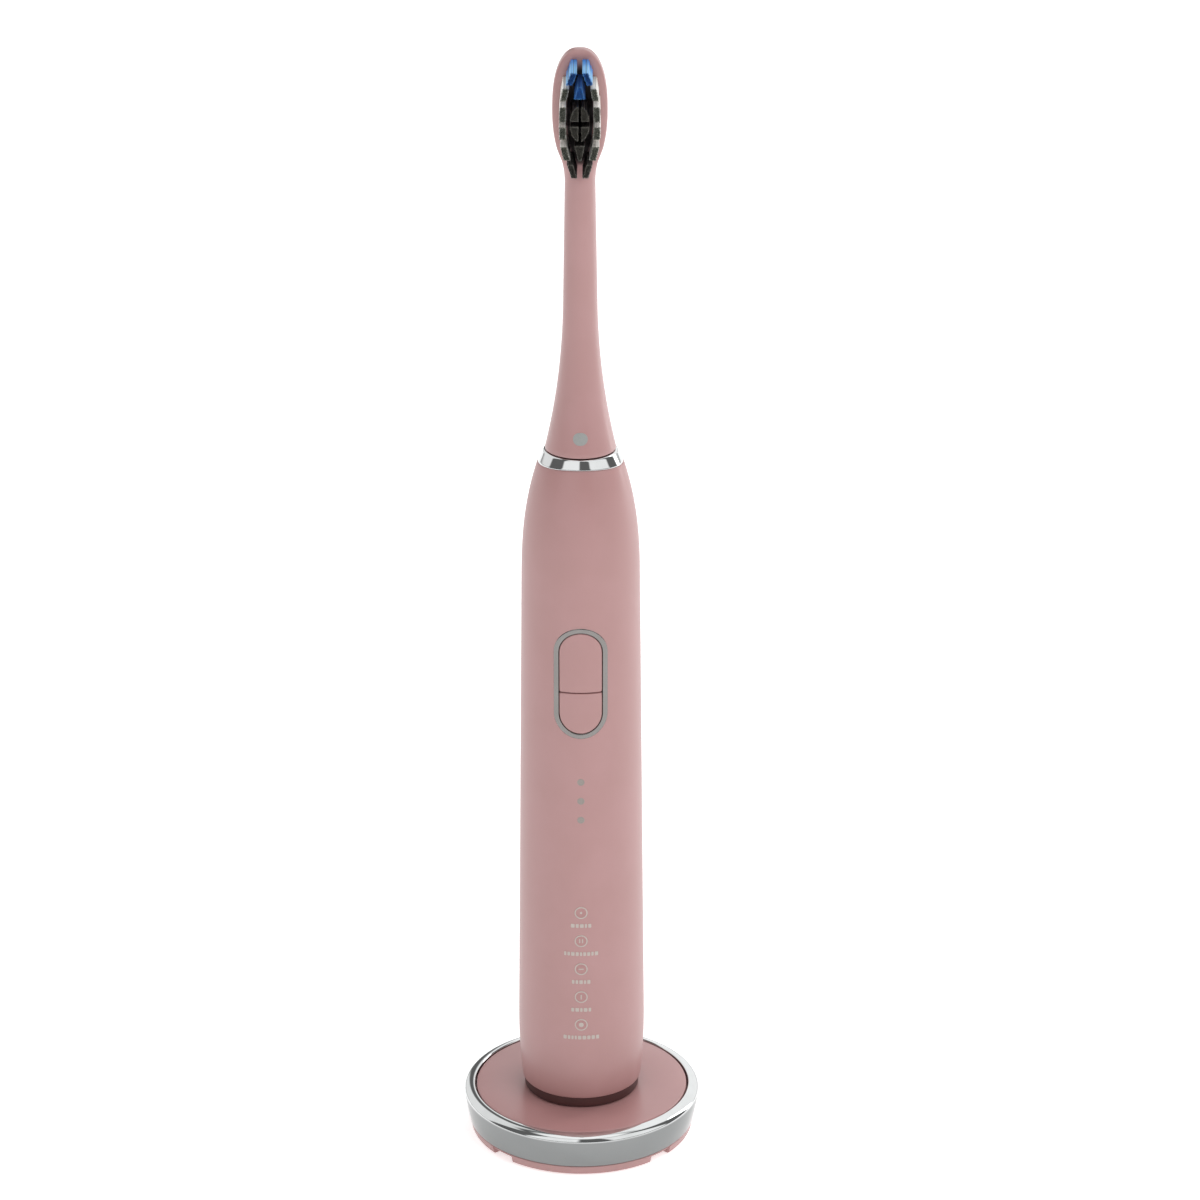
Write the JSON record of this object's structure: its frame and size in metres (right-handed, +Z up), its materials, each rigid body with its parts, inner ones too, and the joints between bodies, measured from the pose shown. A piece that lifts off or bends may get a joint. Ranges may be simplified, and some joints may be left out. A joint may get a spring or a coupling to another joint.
{
  "type": "electric toothbrush on charger",
  "caption": "Slim pink sonic toothbrush standing on a round induction charger with a chrome trim ring; two keys, swinging drive shaft, pull-off brush head.",
  "frame": {"origin": "middle of the charger's underside, on the table", "axes": "+Z up along the handle, -Y towards the bristles and keys, +X to the right when seen from the front"},
  "size_m": [0.0538, 0.0538, 0.2537],
  "materials": {
    "pink_soft_touch": "matte soft-touch coating",
    "dark_rose_plastic": "satin",
    "polished_chrome": "mirror polished",
    "satin_metal": "satin",
    "copper_wire": "enamelled winding",
    "circuit_board": "solder mask",
    "black_parts": "moulded",
    "black_rubber": "matte",
    "rose_silicone": "matte",
    "steel": "machined",
    "ferrite": "sintered",
    "magnet": "nickel plated",
    "white_plastic": "moulded",
    "cell_wrap": "shrink sleeve",
    "light_pipe": "frosted",
    "mode_mark": "frosted, tinted to match the shell",
    "led_white": "clear",
    "blue_bristle": "nylon filament",
    "white_bristle": "nylon filament",
    "grey_bristle": "nylon filament"
  },
  "bodies": {
    "charger": {"charger_base": "pink_soft_touch", "charger_trim_ring": "polished_chrome", "charger_top_plate": "pink_soft_touch", "charger_coil": "copper_wire", "charger_bobbin": "white_plastic", "charger_ferrite_core": "ferrite", "charger_board": "circuit_board", "charger_components": "black_parts", "charger_screws": "steel", "charger_feet": "black_rubber", "cord_gland": "black_rubber"},
    "handle": {"handle_shell": "pink_soft_touch", "bottom_cap": "dark_rose_plastic", "cap_seal": "black_rubber", "receiver_coil": "copper_wire", "receiver_bobbin": "white_plastic", "inner_frame": "white_plastic", "battery_cell": "cell_wrap", "battery_tabs": "satin_metal", "main_board": "circuit_board", "board_chips": "black_parts", "power_switch": "satin_metal", "mode_switch": "satin_metal", "battery_leds": "led_white", "mode_leds": "led_white", "battery_lenses": "light_pipe", "mode_lenses": "mode_mark", "button_bezel": "satin_metal", "button_membrane": "rose_silicone", "motor_can": "steel", "motor_end_cap": "white_plastic", "motor_coil": "copper_wire", "rear_bearing": "steel", "front_bearing": "steel", "motor_damper": "black_rubber", "shaft_seal": "black_rubber", "neck_trim_ring": "polished_chrome", "frame_screws": "steel"},
    "power_button": {"power_key": "pink_soft_touch"},
    "mode_button": {"mode_key": "pink_soft_touch"},
    "drive_shaft": {"drive_shaft": "steel", "rotor_yoke": "steel", "rotor_magnets": "magnet"},
    "brush_head": {"brush_neck": "pink_soft_touch", "neck_insert": "white_plastic", "blue_tufts": "blue_bristle", "blue_wedge_tuft": "blue_bristle", "outer_tufts": "white_bristle", "centre_tufts": "grey_bristle", "wedge_tuft": "grey_bristle", "heel_tufts": "grey_bristle"}
  },
  "joints": [
    {"name": "handle_lift", "type": "slide", "parent": "charger", "child": "handle", "axis": [0, 0, 1], "range_m": [0, 0.06]},
    {"name": "power_press", "type": "slide", "parent": "handle", "child": "power_button", "axis": [0, 1, 0], "range_m": [0, 0.0004], "stiffness_N_per_m": 1500, "deforming": ["button_membrane"]},
    {"name": "mode_press", "type": "slide", "parent": "handle", "child": "mode_button", "axis": [0, 1, 0], "range_m": [0, 0.0004], "stiffness_N_per_m": 1500, "deforming": ["button_membrane"]},
    {"name": "shaft_swing", "type": "hinge", "parent": "handle", "child": "drive_shaft", "pos_m": [0, 0, 0.165], "axis": [0, 0, 1], "range_deg": [-5, 5], "stiffness_Nm_per_rad": 0.2},
    {"name": "head_pull", "type": "slide", "parent": "drive_shaft", "child": "brush_head", "axis": [0, 0, 1], "range_m": [0, 0.03]}
  ]
}
